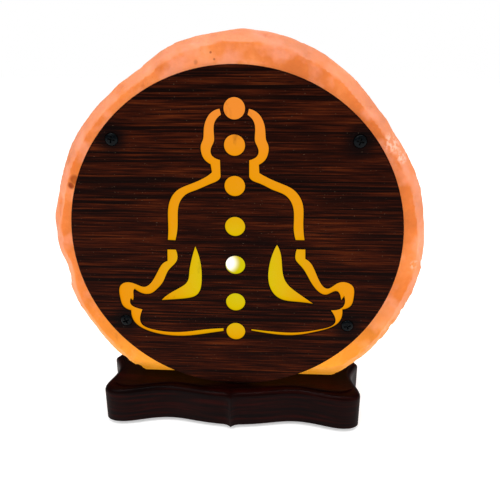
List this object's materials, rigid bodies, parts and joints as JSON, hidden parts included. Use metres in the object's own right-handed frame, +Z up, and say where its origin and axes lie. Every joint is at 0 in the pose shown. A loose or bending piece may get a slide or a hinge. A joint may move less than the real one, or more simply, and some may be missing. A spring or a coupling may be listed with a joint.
{
  "type": "salt crystal lamp",
  "caption": "Table lamp: a hewn disc of glowing rock salt on a moulded wooden base, behind a round wooden panel with a cut-out meditating figure, lit by a screw-in bulb in a push-in holder.",
  "frame": {"origin": "on the table, under the middle of the bore in the base and the salt", "axes": "+Z up, -Y to the front where the stencilled panel is, +X to the right as seen from the front"},
  "size_m": [0.232, 0.09, 0.2475],
  "materials": {
    "lacquered_wood": "gloss lacquer",
    "stained_wood": "dark stain, satin",
    "rock_salt": "hewn, lit from inside",
    "foot_rubber": "matt",
    "steel_screw": "zinc plated",
    "black_screw": "blackened",
    "nylon": "moulded",
    "phenolic": "moulded",
    "steatite": "unglazed",
    "brass": "pressed",
    "spring_steel": "rolled",
    "solder": "dull",
    "black_glass": "glossy",
    "cap_metal": "satin",
    "clear_glass": "clear",
    "hot_filament": "glowing"
  },
  "bodies": {
    "lamp_body": {"base": "lacquered_wood", "foot_front_left": "foot_rubber", "foot_front_right": "foot_rubber", "foot_rear_left": "foot_rubber", "foot_rear_right": "foot_rubber", "base_screws": "steel_screw", "base_plugs": "nylon", "salt_block": "rock_salt", "front_panel": "stained_wood", "panel_screws": "black_screw", "panel_plugs": "nylon"},
    "holder": {"holder_cap": "phenolic", "holder_sleeve": "phenolic", "holder_core": "steatite", "thread_shell": "brass", "centre_contact": "brass", "side_contact": "brass", "terminal_screws": "brass", "spring_clip": "spring_steel"},
    "bulb_foot": {"bulb_tip": "solder", "bulb_insulator": "black_glass"},
    "bulb": {"bulb_cap": "cap_metal", "bulb_glass": "clear_glass", "bulb_stem": "clear_glass", "bulb_leads": "solder", "bulb_filament": "hot_filament"}
  },
  "joints": [
    {"name": "holder_pull", "type": "slide", "parent": "lamp_body", "child": "holder", "axis": [0, 0, 1], "range_m": [-0.115, 0]},
    {"name": "bulb_rise", "type": "slide", "parent": "holder", "child": "bulb_foot", "axis": [0, 0, 1], "range_m": [0, 0.0085]},
    {"name": "bulb_twist", "type": "hinge", "parent": "bulb_foot", "child": "bulb", "pos_m": [0, 0, 0.0541], "axis": [0, 0, 1], "range_deg": [0, 1080]}
  ],
  "couplings": [
    {"joint": "bulb_rise", "follows": "bulb_twist", "m_per_rad": 0.00044882}
  ]
}
